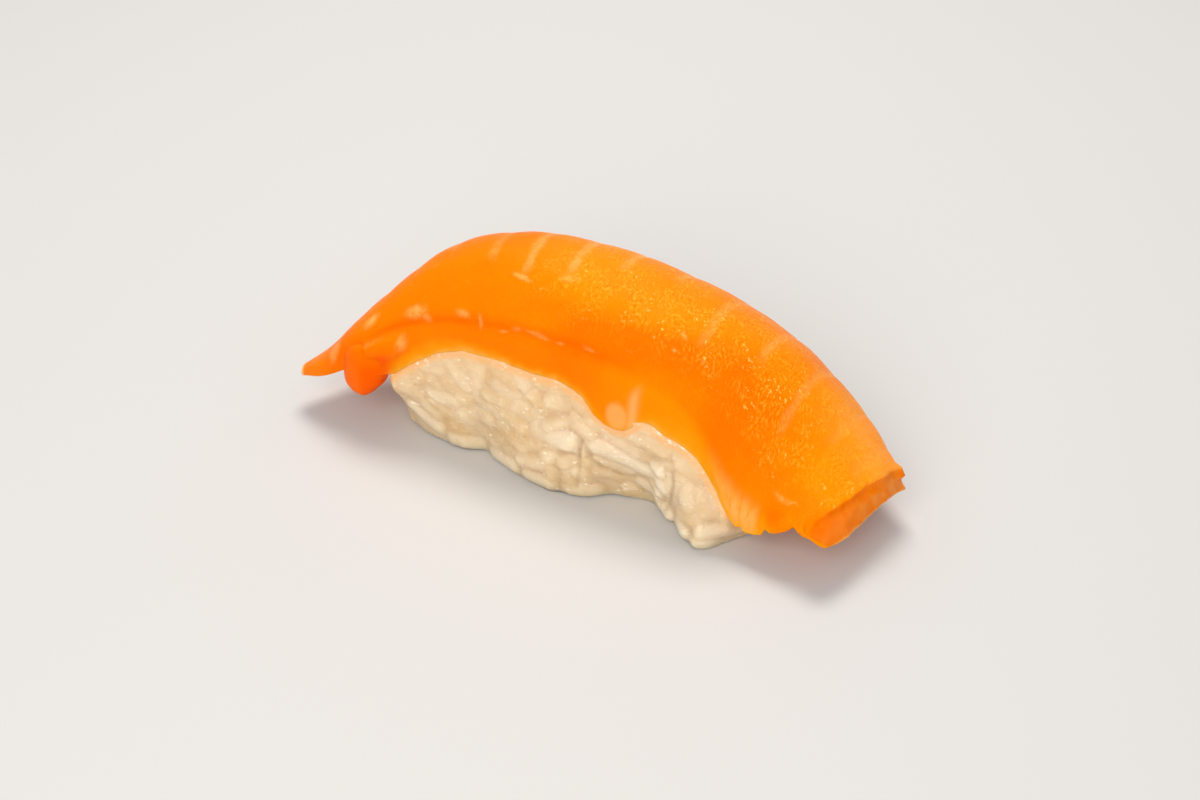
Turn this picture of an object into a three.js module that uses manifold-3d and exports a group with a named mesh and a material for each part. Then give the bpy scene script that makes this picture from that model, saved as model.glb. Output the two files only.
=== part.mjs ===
// Salmon nigiri: a pressed block of sushi rice with a slice of raw salmon laid over it.
// Millimetres, +Z up, +X towards the square-cut end of the slice, -Y towards its front edge.
import * as THREE from "three";
import { mergeVertices } from "three/addons/utils/BufferGeometryUtils.js";
import Module from "manifold-3d";

const wasm = await Module();
wasm.setup();

// ---- rice block ----
const riceMiddle = -6.5; // along X
const riceHalfLength = 29;
const riceHalfWidth = 11.2;
const riceHeight = 23.2;
const riceWaist = 7.5; // height at which the block is widest
const riceDroop = 9.5; // how much lower its top is at the ends
const riceFootDepth = 20; // the skin below the waist curves in as if it went on this far down
const riceSquareness = 3.6; // 2 is an ellipsoid, larger is closer to a box
const footClumps = [ // where the front foot swells or is missing, by place along the block
  { at: 14.5, depth: 4.4, width: 4.5 },
  { at: 4.0, depth: -1.2, width: 3.5 },
  { at: -7.0, depth: 2.4, width: 6.0 },
  { at: -25.0, depth: 1.6, width: 6.0 },
];
const clumpTop = 12; // the clumps fade out at this height
const clumpOnset = 0.7; // share of the half width beyond which they show in full
const coreDetail = 4;
const roomSize = 200; // the space above the surface that the rice is cut off at

// ---- one grain ----
const grainLength = 6.6;
const grainWidth = 3.0;
const grainSides = 5;
const grainRows = 4;
const grainBluntness = 0.6; // 1 is an ellipsoid, less has blunter ends
const grainSpacing = 3.5;
const grainTries = 16000;
const grainStandOut = 0.1; // how far a grain's middle stands out from the skin of the block
const grainSizeSpread = 0.12;
const grainTilt = 0.16; // radians by which a grain's ends may rise from the block
const grainHeadroom = 2.3; // free height over a grain's middle, so that it isn't lost under the fish
const lowestGrain = 0.9;

// ---- slice of salmon ----
// Rails along the top of the slice, from the tail to the cut end: front edge, crown, back edge.
// thick is its thickness under the crown, rim the share of it that is left at the front edge.
const sliceStations = [
  { front: [-45.3, -15.6, 5.6], crown: [-45.6, -15.0, 5.9], back: [-46.0, -14.2, 5.7], thick: 0.9, rim: 1 },
  { front: [-40.4, -16.0, 8.7], crown: [-41.8, -12.8, 9.4], back: [-42.6, -6.5, 7.2], thick: 1.9, rim: 1 },
  { front: [-35.0, -14.8, 13.0], crown: [-36.2, -9.0, 16.2], back: [-36.8, 3.0, 10.4], thick: 3.4, rim: 1 },
  { front: [-27.5, -12.9, 17.2], crown: [-28.4, -3.5, 23.9], back: [-28.8, 10.2, 14.0], thick: 4.7, rim: 1 },
  { front: [-18.0, -12.2, 19.5], crown: [-18.4, -0.6, 27.2], back: [-18.8, 12.0, 17.6], thick: 4.9, rim: 1 },
  { front: [-6.0, -12.0, 20.6], crown: [-6.0, 0.2, 27.2], back: [-6.0, 12.8, 19.3], thick: 5.0, rim: 1 },
  { front: [5.0, -12.0, 20.0], crown: [5.5, 0.3, 25.4], back: [6.0, 12.9, 18.4], thick: 5.0, rim: 0.9 },
  { front: [13.0, -12.2, 16.8], crown: [14.0, 0.0, 22.2], back: [14.5, 12.4, 16.0], thick: 4.9, rim: 0.7 },
  { front: [18.6, -12.6, 8.8], crown: [20.2, -0.8, 18.0], back: [21.0, 11.2, 13.2], thick: 4.7, rim: 0.55 },
  { front: [24.6, -13.3, 6.7], crown: [27.0, -2.4, 12.9], back: [28.5, 8.0, 10.2], thick: 4.2, rim: 0.35 },
  { front: [30.9, -13.8, 7.2], crown: [33.0, -5.4, 9.6], back: [34.5, 2.8, 8.4], thick: 3.8, rim: 0.2 },
];
const sliceSteps = 52;
const sliceAcross = 10;
const crownPower = 2.1; // how roundly the section falls from the crown to its edges
const undersideSpread = 0.9; // the edges are cut at a slant, so the underside is wider on each side
const tailTaper = 0.27; // this share of the length from the tip, the edges come to their full slant
const endLean = 1.6; // at the cut end the underside is longer
const endLeanTurn = 0.7; // more so at the front corner
const bandCount = 15; // bands of muscle between the lines of fat
const bandRise = 0.28;
const bandSlant = 0.35; // share of a band's width by which it leans between crown and edge
const riceGap = 0.55; // left between the fish and the rice
const rimNicks = [ // small tears in the lower front rim, by distance along the slice
  { at: 0.945, depth: 2.2, width: 0.014 },
  { at: 0.58, depth: -3.2, width: 0.022 },
];

// ---- loose flesh at the tail ----
const lobeCentre = new THREE.Vector3(-34.9, -14.8, 9.4);
const lobeHalf = new THREE.Vector3(3.1, 1.7, 4.4);
const lobeTilt = -0.2;
const ridgeStart = new THREE.Vector3(-36.0, -15.4, 12.4);
const ridgeEnd = new THREE.Vector3(-29.8, -14.0, 13.6);
const ridgeRadius = 1.4;

// Draws the same numbers each time.
function seededRandom(seed) {
  let state = seed;
  return () => {
    state = (state * 1664525 + 1013904223) % 4294967296;
    return state / 4294967296;
  };
}

function toManifold(geometry) {
  const bare = geometry.clone();
  bare.deleteAttribute("normal");
  bare.deleteAttribute("uv");
  const welded = mergeVertices(bare, 1e-5);
  const mesh = new wasm.Mesh({
    numProp: 3,
    vertProperties: new Float32Array(welded.attributes.position.array),
    triVerts: new Uint32Array(welded.index.array),
  });
  return new wasm.Manifold(mesh);
}

function toGeometry(manifold) {
  const mesh = manifold.getMesh();
  const geometry = new THREE.BufferGeometry();
  geometry.setAttribute("position", new THREE.BufferAttribute(mesh.vertProperties, 3));
  geometry.setIndex(new THREE.BufferAttribute(mesh.triVerts, 1));
  geometry.computeVertexNormals();
  return geometry;
}

// Keeps the largest of the bodies that a cut leaves.
function largestBody(manifold) {
  const bodies = manifold.decompose();
  bodies.sort((one, other) => other.volume() - one.volume());
  return bodies[0];
}

// Moves each vertex of a geometry by a function of its position.
function reshape(geometry, place) {
  const position = geometry.attributes.position;
  const point = new THREE.Vector3();
  for (let i = 0; i < position.count; i += 1) {
    point.fromBufferAttribute(position, i);
    const placed = place(point);
    position.setXYZ(i, placed.x, placed.y, placed.z);
  }
  return geometry;
}

// Moves every face outward by an amount.
function inflated(geometry, amount) {
  const grown = geometry.clone();
  const { position, normal } = grown.attributes;
  const point = new THREE.Vector3();
  const outward = new THREE.Vector3();
  for (let i = 0; i < position.count; i += 1) {
    point.fromBufferAttribute(position, i);
    outward.fromBufferAttribute(normal, i);
    point.addScaledVector(outward, amount);
    position.setXYZ(i, point.x, point.y, point.z);
  }
  return grown;
}

// ---- salmon ----

const rails = {};
for (const name of ["front", "crown", "back"]) {
  const points = sliceStations.map((station) => new THREE.Vector3(...station[name]));
  rails[name] = new THREE.CatmullRomCurve3(points, false, "catmullrom", 0.5);
}
const thicknessCurve = new THREE.SplineCurve(
  sliceStations.map((station) => new THREE.Vector2(station.thick, station.rim)),
);

function thickness(along, across) {
  const { x: thick, y: rim } = thicknessCurve.getPoint(along);
  return across < 0 ? thick * (1 - (1 - rim) * across ** 2) : thick;
}

// Point on the top of the slice: along runs 0..1 from tail to cut end, across runs -1..1 front to back.
function sliceTop(along, across) {
  const front = rails.front.getPoint(along);
  const back = rails.back.getPoint(along);
  const crown = rails.crown.getPoint(along);
  const middle = front.clone().lerp(back, 0.5);
  const rise = 1 - Math.abs(across) ** crownPower;
  const point = front.lerp(back, (across + 1) / 2).addScaledVector(crown.sub(middle), rise);
  const band = Math.sqrt(Math.abs(Math.sin(Math.PI * (bandCount * along + bandSlant * across))));
  point.z += bandRise * (band - 1) * Math.min(1, along / tailTaper) * (1 - across ** 4);
  return point;
}

// How much of the front rim is torn away at a place along the slice.
function rimNick(along) {
  let nick = 0;
  for (const { at, depth, width } of rimNicks) {
    nick += depth * Math.exp(-(((along - at) / width) ** 2));
  }
  return nick;
}

function sliceUnderside(along, across) {
  const point = sliceTop(along, across);
  const taper = Math.min(1, along / tailTaper);
  point.z -= thickness(along, across);
  point.y += undersideSpread * across * taper;
  point.x += (endLean - endLeanTurn * across) * along ** 8;
  if (across < 0) point.z += rimNick(along) * across ** 8;
  return point;
}

// The slab between top and underside, bent from a box.
function slabGeometry() {
  const box = new THREE.BoxGeometry(1, 1, 1, sliceSteps, sliceAcross, 1);
  return reshape(box, (corner) => {
    const along = corner.x + 0.5;
    const across = 2 * corner.y;
    return corner.z > 0 ? sliceTop(along, across) : sliceUnderside(along, across);
  });
}

function lobeGeometry() {
  const lobe = new THREE.SphereGeometry(1, 14, 10);
  lobe.scale(lobeHalf.x, lobeHalf.y, lobeHalf.z);
  lobe.rotateY(lobeTilt);
  return lobe.translate(lobeCentre.x, lobeCentre.y, lobeCentre.z);
}

function ridgeGeometry() {
  const run = ridgeEnd.clone().sub(ridgeStart);
  const ridge = new THREE.CapsuleGeometry(ridgeRadius, run.length(), 4, 10);
  const capsuleAxis = new THREE.Vector3(0, 1, 0);
  ridge.applyQuaternion(new THREE.Quaternion().setFromUnitVectors(capsuleAxis, run.normalize()));
  const middle = ridgeStart.clone().lerp(ridgeEnd, 0.5);
  return ridge.translate(middle.x, middle.y, middle.z);
}

function salmonSolid() {
  return toManifold(slabGeometry())
    .add(toManifold(lobeGeometry()))
    .add(toManifold(ridgeGeometry()));
}

// ---- rice ----

// Point on the bare block of rice in a direction from its centre.
function blockSurface(direction) {
  const p = riceSquareness;
  const { x, y, z } = direction;
  const reach = (Math.abs(x) ** p + Math.abs(y) ** p + Math.abs(z) ** p) ** (-1 / p);
  const top = riceHeight - riceDroop * (x * reach) ** 2;
  const halfHeight = z > 0 ? top - riceWaist : riceFootDepth;
  const point = new THREE.Vector3(x * riceHalfLength, y * riceHalfWidth, z * halfHeight);
  point.multiplyScalar(reach);
  point.x += riceMiddle;
  point.z += riceWaist;
  const fade = Math.max(0, 1 - Math.max(0, point.z) / clumpTop);
  const frontness = Math.min(1, Math.max(0, (-y * reach) / clumpOnset));
  for (const { at, depth, width } of footClumps) {
    point.y -= depth * fade * frontness * Math.exp(-(((point.x - at) / width) ** 2));
  }
  return point;
}

function coreGeometry() {
  const ball = new THREE.IcosahedronGeometry(1, coreDetail);
  return reshape(ball, (corner) => blockSurface(corner.clone().normalize()));
}

// Blunt-ended grain along X, centred on the origin.
function grainGeometry(length, width) {
  const grain = new THREE.SphereGeometry(1, grainSides, grainRows);
  grain.rotateZ(Math.PI / 2);
  reshape(grain, ({ x, y, z }) => {
    const girth = Math.hypot(y, z) ** (grainBluntness - 1) || 0;
    return new THREE.Vector3(x, y * girth, z * girth);
  });
  return grain.scale(length / 2, width / 2, width / 2);
}

// A place on the block's skin and its outward direction, from two short steps over the skin.
function skinPlace(direction) {
  const step = 0.02;
  const side = new THREE.Vector3().crossVectors(new THREE.Vector3(0, 0, 1), direction).normalize();
  const other = new THREE.Vector3().crossVectors(direction, side);
  const here = blockSurface(direction);
  const [shiftOne, shiftTwo] = [side, other].map((way) => {
    const nearby = direction.clone().addScaledVector(way, step).normalize();
    return blockSurface(nearby).sub(here);
  });
  return { here, outward: shiftOne.cross(shiftTwo).normalize() };
}

function headroom(point, fish) {
  const ray = new THREE.Raycaster(point, new THREE.Vector3(0, 0, 1));
  const hits = ray.intersectObject(fish);
  return hits.length ? hits[0].distance : Infinity;
}

// Places for the grains: seeded draws over the skin, each kept if it is far enough from those before.
function grainPlaces(random, fish) {
  const places = [];
  for (let i = 0; i < grainTries; i += 1) {
    const height = 2 * random() - 1;
    const turn = 2 * Math.PI * random();
    const ring = Math.sqrt(1 - height * height);
    const direction = new THREE.Vector3(ring * Math.cos(turn), ring * Math.sin(turn), height);
    const { here, outward } = skinPlace(direction);
    const crowded = places.some((place) => place.here.distanceTo(here) < grainSpacing);
    if (here.z < lowestGrain || crowded || headroom(here, fish) < grainHeadroom) continue;
    places.push({ here, outward });
  }
  return places;
}

function placedGrain(place, random) {
  const length = grainLength * (1 + grainSizeSpread * (2 * random() - 1));
  const width = grainWidth * (1 + grainSizeSpread * (2 * random() - 1));
  const grain = grainGeometry(length, width);
  grain.rotateY(grainTilt * (2 * random() - 1));
  grain.rotateZ(Math.PI * random());
  const up = new THREE.Vector3(0, 0, 1);
  grain.applyQuaternion(new THREE.Quaternion().setFromUnitVectors(up, place.outward));
  const centre = place.here.clone().addScaledVector(place.outward, grainStandOut);
  return grain.translate(centre.x, centre.y, centre.z);
}

function riceSolid(fish) {
  const random = seededRandom(20);
  let rice = toManifold(coreGeometry());
  for (const place of grainPlaces(random, fish)) {
    rice = rice.add(toManifold(placedGrain(place, random)));
  }
  const room = new THREE.BoxGeometry(roomSize, roomSize, roomSize).translate(0, 0, roomSize / 2);
  const cutter = toManifold(inflated(fish.geometry, riceGap));
  return largestBody(rice.intersect(toManifold(room)).subtract(cutter));
}

// ---- assembly ----

// Drawn on both sides, so that a ray from inside the slice meets it too.
const salmonLook = { color: 0xfc8e0c, roughness: 0.35, metalness: 0, side: THREE.DoubleSide };
const salmon = new THREE.Mesh(toGeometry(salmonSolid()), new THREE.MeshStandardMaterial(salmonLook));
salmon.name = "salmon";

const riceLook = { color: 0xecd2a8, roughness: 0.5, metalness: 0 };
const rice = new THREE.Mesh(toGeometry(riceSolid(salmon)), new THREE.MeshStandardMaterial(riceLook));
rice.name = "rice";

const nigiri = new THREE.Group();
nigiri.add(rice, salmon);

// The origin is the middle of the footprint, on the surface that the rice stands on.
const extent = new THREE.Box3().setFromObject(nigiri);
const footprint = extent.getCenter(new THREE.Vector3());
nigiri.position.set(-footprint.x, -footprint.y, -extent.min.z);

export default nigiri;
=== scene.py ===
import math

import bpy
import numpy as np
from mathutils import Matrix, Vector, noise


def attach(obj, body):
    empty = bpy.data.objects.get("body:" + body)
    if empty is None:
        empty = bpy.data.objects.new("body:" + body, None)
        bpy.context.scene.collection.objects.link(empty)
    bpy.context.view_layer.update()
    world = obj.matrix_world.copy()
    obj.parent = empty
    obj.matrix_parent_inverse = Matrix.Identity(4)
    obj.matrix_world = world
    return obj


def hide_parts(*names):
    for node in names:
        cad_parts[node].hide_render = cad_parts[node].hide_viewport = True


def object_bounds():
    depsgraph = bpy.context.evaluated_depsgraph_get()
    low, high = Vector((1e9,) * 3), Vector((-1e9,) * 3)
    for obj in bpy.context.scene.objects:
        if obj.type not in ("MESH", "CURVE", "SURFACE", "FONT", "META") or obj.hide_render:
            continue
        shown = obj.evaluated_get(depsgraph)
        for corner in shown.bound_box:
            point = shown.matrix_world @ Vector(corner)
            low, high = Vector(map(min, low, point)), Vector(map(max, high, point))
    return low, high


# Salmon nigiri. Sizes are in millimetres and turned into metres when a mesh is made. Places are in the
# slice's own coordinates, and tail_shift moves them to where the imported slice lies.
MM = 0.001

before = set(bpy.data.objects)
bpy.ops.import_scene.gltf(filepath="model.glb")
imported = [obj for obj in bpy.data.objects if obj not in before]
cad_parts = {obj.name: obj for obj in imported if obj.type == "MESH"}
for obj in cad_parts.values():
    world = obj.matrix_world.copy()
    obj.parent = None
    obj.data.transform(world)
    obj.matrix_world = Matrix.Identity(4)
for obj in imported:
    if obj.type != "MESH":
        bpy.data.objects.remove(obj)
cad_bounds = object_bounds()

# ---- the slice, as it is packed but for its thicker rim at the cut end ----
# From the tail to the cut end: places on the front, crown and back rails along its top, its thickness
# under the crown, and the share of it that is left at the front edge.
SLICE_STATIONS = (
    ((-45.3, -15.6, 5.6), (-45.6, -15.0, 5.9), (-46.0, -14.2, 5.7), 0.9, 1),
    ((-40.4, -16.0, 8.7), (-41.8, -12.8, 9.4), (-42.6, -6.5, 7.2), 1.9, 1),
    ((-35.0, -14.8, 13.0), (-36.2, -9.0, 16.2), (-36.8, 3.0, 10.4), 3.4, 1),
    ((-27.5, -12.9, 17.2), (-28.4, -3.5, 23.9), (-28.8, 10.2, 14.0), 4.7, 1),
    ((-18.0, -12.2, 19.5), (-18.4, -0.6, 27.2), (-18.8, 12.0, 17.6), 4.9, 1),
    ((-6.0, -12.0, 20.6), (-6.0, 0.2, 27.2), (-6.0, 12.8, 19.3), 5.0, 1),
    ((5.0, -12.0, 20.0), (5.5, 0.3, 25.4), (6.0, 12.9, 18.4), 5.0, 0.9),
    ((13.0, -12.2, 16.8), (14.0, 0.0, 22.2), (14.5, 12.4, 16.0), 4.9, 0.7),
    ((18.6, -12.6, 8.8), (20.2, -0.8, 18.0), (21.0, 11.2, 13.2), 4.7, 0.55),
    ((24.6, -13.3, 6.7), (27.0, -2.4, 12.9), (28.5, 8.0, 10.2), 4.2, 0.35),
    ((30.9, -13.8, 7.2), (33.0, -5.4, 9.6), (34.5, 2.8, 8.4), 3.8, 0.4),
)
FRONT_RAIL, CROWN_RAIL, BACK_RAIL, THICKNESSES, RIM_SHARES = zip(*SLICE_STATIONS)
CROWN_POWER = 2.1  # how roundly the section falls from the crown to its edges
UNDERSIDE_SPREAD = 0.9  # the underside is wider on each side
TAIL_TAPER = 0.27  # this share of the length from the tip, the edges come to their full slant
END_LEAN = 1.6  # at the cut end the underside is longer
END_LEAN_TURN = 0.7  # more so at the front corner

# ---- the slice's finer form ----
# Arc length is the distance along the crown from the tip of the tail. ARCS give where something starts,
# where it is whole, until where, and where it ends.
SLICE_GRID = (330, 100, 16)  # steps along, across and through the slice
RIM_ROUNDING = 1.3
CUT_ROUNDING = 0.35
FAT_LINES = (3.2, 8.1, 12.9, 17.6, 23.2, 29.0, 35.7, 41.2, 47.3, 53.4, 59.9, 67.4, 74.8, 81.7, 88.5)
FAT_LEAN = 0.13  # how far a line of fat slips towards the cut end for each millimetre towards the front
FAT_CURVE = 0.03  # how far its ends bend towards the cut end, as a share of the half width
FAT_STRENGTH = (  # by arc length
    (0, 0.15), (31, 0.15), (35.7, 0.45), (41, 0.75), (47, 0.75), (53.4, 0.6), (59.9, 0.3), (67, 0.45),
    (75, 0.5), (82, 0.4), (88.5, 0.15),
)
FAT_FRONT_END = (  # by arc length: how far to the front a line of fat reaches, as a share of the half width
    (0, 0.0), (30, -0.2), (35.7, -0.38), (41, -0.52), (47, -0.44), (53.4, -0.08), (59.9, 0.2), (67, -0.5),
    (75, -0.05), (82, -0.45), (88.5, 0.0),
)
BAND_RISE = 0.16  # how far the flesh swells between its lines of fat
CREASE_PLACE = 0.85  # distance behind the front shoulder
CREASE_DEPTH = 0.35
CREASE_WIDTH = 0.5
CREASE_ARCS = (12, 24, 52, 62)
LUMP_SIZE = 7.0
LUMP_RISE = 0.12
RIPPLE_SIZE = 1.8
RIPPLE_RISE = 0.04
FLECK_RISE = 0.14
FLECKS_AND_HIGHLIGHT = (  # arc length, distance behind the front shoulder, length, width, turn, strength
    (8.2, 1.6, 3.8, 2.2, 65, 1.3),
    (17.2, 3.4, 3.4, 2.2, 10, 0.9),
    # Painted highlight: a pale streak along the top of the rolled rim, not fat.
    (17.5, -0.4, 8.0, 1.0, 0, 0.4),
    (27.2, 1.9, 4.2, 2.0, -5, 0.8),
    (29.4, 0.9, 2.4, 0.8, -25, 0.9),
    (25.4, -1.9, 2.2, 2.4, 0, 0.75),
    (35.3, 1.5, 2.8, 0.9, -10, 0.75),
    (38.4, 0.9, 1.9, 0.6, -60, 0.8),
    (42.2, 0.25, 1.5, 0.45, 0, 0.7),
    (44.0, 0.75, 1.7, 0.5, 0, 0.8),
    (47.4, 0.7, 3.8, 0.5, -6, 0.9),
    (50.6, 0.5, 1.8, 0.5, -4, 0.6),
    (55.0, 0.9, 2.6, 0.5, -6, 0.7),
    (60.4, 2.4, 1.6, 0.4, -6, 0.5),
    (28.4, 9.2, 2.2, 1.3, 40, 0.35),
    (34.6, 5.6, 1.2, 0.6, -30, 0.35),
    (42.2, 7.0, 3.0, 0.8, -15, 0.9),
    (48.4, 8.6, 3.4, 1.9, 10, 0.5),
    (60.0, 8.3, 0.8, 0.5, 0, 0.7),
    (65.7, 7.6, 1.8, 0.8, -40, 0.6),
    (65.7, 5.1, 0.7, 0.6, 0, 0.8),
    (69.6, 6.1, 0.7, 0.5, 0, 0.7),
    (88.6, 2.4, 4.6, 0.8, -8, 0.6),
)

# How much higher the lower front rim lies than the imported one, by arc length: it is torn and uneven.
RIM_RAISE = (
    (0, 0.0), (12, 0.0), (16, -0.3), (19, -1.5), (21, -2.3), (24, -2.2), (27, -1.0), (30, 0.0), (32, 0.8),
    (36.5, 1.6), (41, 1.1), (47, 0.4), (51, 0.3), (53.5, -0.2), (55, -0.8), (56.2, -1.7), (57.2, -2.6),
    (59.0, -3.4), (60.6, -3.6), (62.0, -3.3), (63.2, -2.2), (64.4, -1.1), (65.6, -0.9), (68, -1.3),
    (73, -0.6), (77, 0.0), (79, -0.5), (81.4, -1.5), (82.4, -1.0), (83.2, -1.5), (85, -1.2), (86.2, -0.8),
    (86.7, 0.3), (87.6, 0.0), (88.6, 0.4), (89.6, 1.0), (90.3, 1.6), (91.2, 1.4), (92.6, 1.3), (93.6, 1.5),
    (94.4, 1.5), (95.0, 0.7), (96, 0.3),
)
NOTCH = (  # by arc length, as a share of the half width
    (88.0, 0.0), (89.5, 0.03), (90.2, 0.08), (90.8, 0.07), (92.2, 0.02), (93.8, 0.0),
)
RIM_FALLOFF = 5  # the higher, the closer to the rim its unevenness ends
FLAP_SPREAD = 0.3  # how far a hanging part of the rim stands off the rice, for each millimetre it hangs
RIM_EDGE = 0.4  # share of the rounding that is left at the lower rim
THINNEST_RIM = 0.55
SEEN_THROUGH = (60.7, -5.8)  # arc length and place down the front of the grain that shows through
PLEAT_ARC = 62.9
CORNER_ROUNDING = 0.45  # further rounding at the front corner of the cut end
CUT_EAR = 0.7  # how far the far corner of the cut end stands out
CUT_GROOVE = 0.22  # depth of the groove under the cut end's top edge
CUT_ROUGHNESS = 0.12
CUT_SLANT = 1.2  # how far the cut end's top edge lies back at the front corner

# ---- where the slice's colour changes ----
FLESH_DEPTH = 5.0  # the flesh is coloured as if it was this thick everywhere
FILM_ARCS = (74, 80, 84.6, 86.4)  # thin flesh beside the rice
STRIPE_ARCS = (46, 58, 80, 90)
THIN_RIM_ARCS = (21.5, 25, 84, 90)
PALE_RIM_ARCS = (20, 25, 77, 80)
HANGING_ARCS = (56, 57.5, 64, 65)

# ---- loose flesh at the tail ----
ROLL = 1.0  # how far the front face swells where it is rolled under
ROLL_ARCS = (8.5, 19, 24, 27)
ROLL_DEPTHS = (0.0, 0.22, 0.42, 0.66)  # as shares of the slice's thickness
LOBE_CENTRE = (-34.7, -14.6, 9.6)
LOBE_HALF_DEPTH = 1.8
LOBE_OUTLINE = (  # degrees from +X towards +Z, distance from the lobe's centre
    (5, 3.5), (48, 3.6), (90, 3.6), (134, 3.4), (184, 3.0), (229, 4.6), (245, 4.85), (264, 4.7), (294, 3.5),
    (333, 2.9),
)
LOBE_BLUNTNESS = 0.75  # 1 is an ellipsoid, less is blunter
LOBE_TURN = 0.3  # its side towards the rice lies further back
SEAM_REACH = 2.2  # flesh within this distance of a seam runs together

# ---- the rice block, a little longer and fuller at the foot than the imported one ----
RICE_MIDDLE = -7.2
RICE_HALF_LENGTH = 29.8
RICE_HALF_WIDTH = 11.2
RICE_HEIGHT = 23.2
RICE_WAIST = 7.5  # height at which the block is widest
RICE_DROOP = 9.5  # how much lower its top is at the ends
RICE_FOOT_DEPTH = 20  # the skin under the waist curves in as if it went on this far down
RICE_SQUARENESS = 3.6  # 2 is an ellipsoid, larger is closer to a box
FOOT_CLUMPS = (  # where the front foot swells or is missing: X, depth, width
    (16.2, 5.9, 4.3), (4.0, -1.2, 3.5), (-6.0, 4.2, 5.5), (-20.5, 1.6, 3.0), (-25.0, 1.6, 6.0),
)
CLUMP_TOP = 12  # the clumps fade out at this height
CLUMP_ONSET = 0.7  # share of the half width beyond which they show in full

# ---- the grains ----
GRAIN_LENGTH = 7.0
GRAIN_WIDTH = 3.0
GRAIN_FLATNESS = 0.95
GRAIN_SPREAD = 0.12
GRAIN_GRID = (16, 12)
LAYERS = ((1.2, 3.5, 300), (3.6, 3.6, 220))  # depth under the skin, spacing, most grains
SQUEEZE = 0.95  # share of its width that a grain keeps to itself
SETTLE_ROUNDS = 70
CORE_INSET = 0.55  # depth of the pressed mass under the skin
HEAP_SOFTENING = 8  # rounds of softening that leave the grains
MASS_SOFTENING = 120  # further rounds that leave only the mass they make up
PRESSED_RELIEF = 0.5  # share of the heap's relief that pressing leaves at the back and the ends
RIM_FILL = (  # by X: how far the rice swells under the slice's front rim
    (-36, 2.0), (-31, 3.6), (-26, 3.2), (-22, 2.7), (-10, 2.0), (-2, 2.0), (4, 2.5), (12, 2.8), (18, 2.8),
)
RIM_LAP = 0.1  # how far the rice stands out over the rim's rounded lower edge where it meets it
FLAP_ARCS = (54.0, 66.0)  # the hanging flap lies over the rice, which isn't drawn out to its edge
FRONT_FOOT = (  # X and Y of the outline that the front of the rice stands on
    (-36.6, -5.9), (-32.7, -9.4), (-31.5, -10.7), (-27.6, -12.3), (-23.1, -12.9), (-20.1, -12.7),
    (-18.3, -11.5), (-14.7, -12.9), (-11.4, -14.1), (-5.8, -14.7), (-1.3, -13.5), (1.0, -11.6),
    (4.4, -10.2), (7.0, -10.0), (8.5, -11.4), (11.1, -12.4), (12.6, -13.7), (14.2, -14.8), (16.0, -15.2),
    (17.3, -14.4), (18.5, -12.6), (20.0, -10.6),
)
FRONT_BULGE = 0.5
RIM_SLOPE = 0.6  # how far the rice draws back for each millimetre above the rim

# ---- the grains at the front ----
SEEN_GRAINS = (  # X and Z of both tips, width, rise over the front at both tips, whiteness
    (-0.9, 9.4, 8.3, 6.2, 3.7, 0.7, 0.8, 0.75),
    (-9.6, 9.2, -1.6, 8.4, 3.8, 0.15, 0.7, 0.7),
    (0.9, 12.6, 11.6, 12.0, 3.8, 0.3, 0.3, 0.3),
    (-1.2, 12.7, 1.2, 10.9, 2.0, 0.3, 0.2, 0.5),
    (7.6, 9.0, 10.6, 7.9, 2.7, 0.5, 0.75, 0.9),
    (8.4, 7.4, 10.8, 4.6, 3.1, 0.7, 0.75, 0.9),
    (6.4, 4.9, 9.8, 3.6, 2.7, 0.45, 0.75, 0.8),
    (8.6, 2.2, 11.5, 1.0, 2.7, 0.6, 0.8, 0.9),
    (-1.0, 4.6, 6.5, 3.4, 3.8, 0.3, 0.15, 0.2),
    (-3.9, 7.4, -2.7, 1.0, 3.2, 0.2, 0.25, 0.2),
    (-6.8, 7.0, -5.5, 1.2, 3.2, 0.2, 0.25, 0.3),
    (10.9, 11.4, 16.0, 10.1, 3.4, 0.35, 0.2, 0.4),
    (12.6, 9.6, 14.5, 4.2, 3.6, 0.2, 0.25, 0.6),
    (15.3, 9.6, 17.6, 4.2, 3.6, 0.15, 0.15, 0.4),
    (11.6, 2.8, 14.8, 0.7, 3.0, 0.5, 0.6, 0.9),
    (14.5, 0.8, 18.6, 1.2, 2.9, 0.45, 0.5, 0.8),
    (-29.9, 4.7, -23.2, 1.7, 2.9, 0.6, 0.6, 0.9),
    (-23.4, 1.3, -17.2, 1.2, 2.8, 0.5, 0.5, 0.8),
    (-28.9, 11.0, -28.3, 6.2, 2.6, 0.3, 0.35, 0.6),
    (-27.2, 12.8, -22.2, 12.1, 2.6, 0.3, 0.3, 0.6),
    (-26.0, 7.5, -20.2, 8.2, 2.9, 0.35, 0.3, 0.8),
    (-21.2, 6.6, -18.6, 4.4, 2.6, 0.25, 0.15, 0.9),
    (-15.6, 13.1, -10.8, 12.2, 2.8, 0.2, 0.15, 0.7),
    (-17.3, 1.1, -10.6, 1.7, 3.0, 0.55, 0.6, 0.9),
    (-10.9, 1.5, -4.6, 1.3, 3.0, 0.45, 0.4, 0.6),
    (-4.6, 1.2, 1.2, 1.4, 3.0, 0.35, 0.4, 0.4),
    (-18.9, 9.5, -13.0, 8.5, 2.8, 0.15, 0.25, 0.5),
)
SEEN_GRAIN_SPACING = 1.7  # from the seen grains to the middles of the others
OTHER_GRAIN_SPACING = 2.5
OTHER_GRAIN_RISE = (-0.2, 0.5)
PRESSED_MASS_DEPTH = 0.4  # how far the mass between the grains lies behind the front
GRAIN_MEETING = 18.0  # the higher, the more sharply grains meet
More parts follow.
